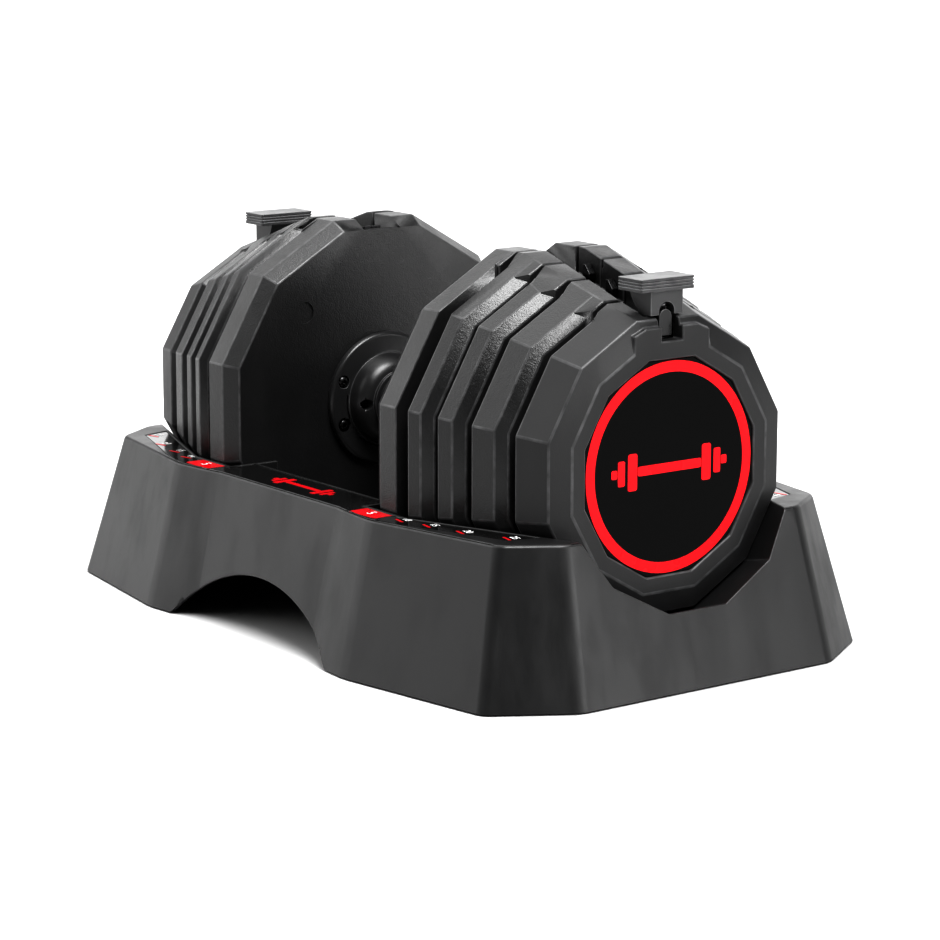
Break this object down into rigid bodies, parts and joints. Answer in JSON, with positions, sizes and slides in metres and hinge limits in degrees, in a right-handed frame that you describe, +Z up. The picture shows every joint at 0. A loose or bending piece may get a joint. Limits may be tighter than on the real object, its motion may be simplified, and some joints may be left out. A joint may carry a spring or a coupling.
{
  "type": "adjustable dumbbell",
  "caption": "Selectable-weight dumbbell with twelve-sided plates, a T-shaped sliding selector on each bell and a drafted plastic cradle.",
  "frame": {"origin": "centre of the cradle's footprint, on the floor", "axes": "+X along the handle, +Y towards the back of the cradle, +Z up"},
  "size_m": [0.4594, 0.2938, 0.221],
  "materials": {
    "cradle_plastic": "satin moulded black, slightly worn",
    "label_gloss": "glossy printed strip",
    "foot_rubber": "matte",
    "steel": "zinc plated",
    "black_steel": "blackened",
    "grip_rubber": "matte, knurled",
    "dark_plastic": "satin black",
    "plate_coating": "dark grey coating with an orange-peel grain",
    "outer_coating": "dark grey coating, satin",
    "badge_gloss": "glossy black with a red printed ring"
  },
  "bodies": {
    "cradle": {"cradle_shell": "cradle_plastic", "deck_label_front": "label_gloss", "deck_label_back": "label_gloss", "foot_front_left": "foot_rubber", "foot_front_right": "foot_rubber", "foot_back_left": "foot_rubber", "foot_back_right": "foot_rubber"},
    "handle": {"handle_shaft": "steel", "handle_grip": "grip_rubber", "grip_flange_left": "dark_plastic", "flange_screw_1_left": "black_steel", "flange_screw_2_left": "black_steel", "flange_screw_3_left": "black_steel", "flange_screw_4_left": "black_steel", "shaft_washer_left": "steel", "shaft_nut_left": "steel", "inner_plate_left": "plate_coating", "selector_rail_left": "steel", "grip_flange_right": "dark_plastic", "flange_screw_1_right": "black_steel", "flange_screw_2_right": "black_steel", "flange_screw_3_right": "black_steel", "flange_screw_4_right": "black_steel", "shaft_washer_right": "steel", "shaft_nut_right": "steel", "inner_plate_right": "plate_coating", "selector_rail_right": "steel"},
    "plate_2_unit_left": {"plate_2_left": "plate_coating", "plate_2_keeper_left": "black_steel"},
    "plate_3_unit_left": {"plate_3_left": "plate_coating", "plate_3_keeper_left": "black_steel"},
    "plate_4_unit_left": {"plate_4_left": "plate_coating", "plate_4_keeper_left": "black_steel"},
    "outer_plate_unit_left": {"outer_plate_left": "outer_coating", "outer_plate_keeper_left": "black_steel", "badge_left": "badge_gloss"},
    "selector_left": {"selector_tab_left": "dark_plastic", "tongue_spring_left": "steel"},
    "tongue_left": {"lock_tongue_left": "dark_plastic"},
    "plate_2_unit_right": {"plate_2_right": "plate_coating", "plate_2_keeper_right": "black_steel"},
    "plate_3_unit_right": {"plate_3_right": "plate_coating", "plate_3_keeper_right": "black_steel"},
    "plate_4_unit_right": {"plate_4_right": "plate_coating", "plate_4_keeper_right": "black_steel"},
    "outer_plate_unit_right": {"outer_plate_right": "outer_coating", "outer_plate_keeper_right": "black_steel", "badge_right": "badge_gloss"},
    "selector_right": {"selector_tab_right": "dark_plastic", "tongue_spring_right": "steel"},
    "tongue_right": {"lock_tongue_right": "dark_plastic"}
  },
  "joints": [
    {"name": "handle_lift", "type": "slide", "parent": "cradle", "child": "handle", "axis": [0, 0, 1], "range_m": [0, 0.25]},
    {"name": "plate_2_lift_left", "type": "slide", "parent": "cradle", "child": "plate_2_unit_left", "axis": [0, 0, 1], "range_m": [0, 0.25]},
    {"name": "plate_3_lift_left", "type": "slide", "parent": "cradle", "child": "plate_3_unit_left", "axis": [0, 0, 1], "range_m": [0, 0.25]},
    {"name": "plate_4_lift_left", "type": "slide", "parent": "cradle", "child": "plate_4_unit_left", "axis": [0, 0, 1], "range_m": [0, 0.25]},
    {"name": "outer_plate_lift_left", "type": "slide", "parent": "cradle", "child": "outer_plate_unit_left", "axis": [0, 0, 1], "range_m": [0, 0.25]},
    {"name": "selector_slide_left", "type": "slide", "parent": "handle", "child": "selector_left", "axis": [0.9533, 0, 0.302], "range_m": [0, 0.098]},
    {"name": "tongue_release_left", "type": "slide", "parent": "selector_left", "child": "tongue_left", "axis": [0, 0, 1], "range_m": [0, 0.0034], "stiffness_N_per_m": 300, "springref_m": -0.003, "deforming": ["tongue_spring_left"]},
    {"name": "plate_2_lift_right", "type": "slide", "parent": "cradle", "child": "plate_2_unit_right", "axis": [0, 0, 1], "range_m": [0, 0.25]},
    {"name": "plate_3_lift_right", "type": "slide", "parent": "cradle", "child": "plate_3_unit_right", "axis": [0, 0, 1], "range_m": [0, 0.25]},
    {"name": "plate_4_lift_right", "type": "slide", "parent": "cradle", "child": "plate_4_unit_right", "axis": [0, 0, 1], "range_m": [0, 0.25]},
    {"name": "outer_plate_lift_right", "type": "slide", "parent": "cradle", "child": "outer_plate_unit_right", "axis": [0, 0, 1], "range_m": [0, 0.25]},
    {"name": "selector_slide_right", "type": "slide", "parent": "handle", "child": "selector_right", "axis": [-0.9533, 0, 0.302], "range_m": [0, 0.098]},
    {"name": "tongue_release_right", "type": "slide", "parent": "selector_right", "child": "tongue_right", "axis": [0, 0, 1], "range_m": [0, 0.0034], "stiffness_N_per_m": 300, "springref_m": -0.003, "deforming": ["tongue_spring_right"]}
  ],
  "couplings": [
    {"joint": "plate_2_lift_left", "follows": "handle_lift", "ratio": 1},
    {"joint": "plate_3_lift_left", "follows": "handle_lift", "ratio": 1},
    {"joint": "plate_4_lift_left", "follows": "handle_lift", "ratio": 1},
    {"joint": "outer_plate_lift_left", "follows": "handle_lift", "ratio": 1},
    {"joint": "plate_2_lift_right", "follows": "handle_lift", "ratio": 1},
    {"joint": "plate_3_lift_right", "follows": "handle_lift", "ratio": 1},
    {"joint": "plate_4_lift_right", "follows": "handle_lift", "ratio": 1},
    {"joint": "outer_plate_lift_right", "follows": "handle_lift", "ratio": 1}
  ]
}
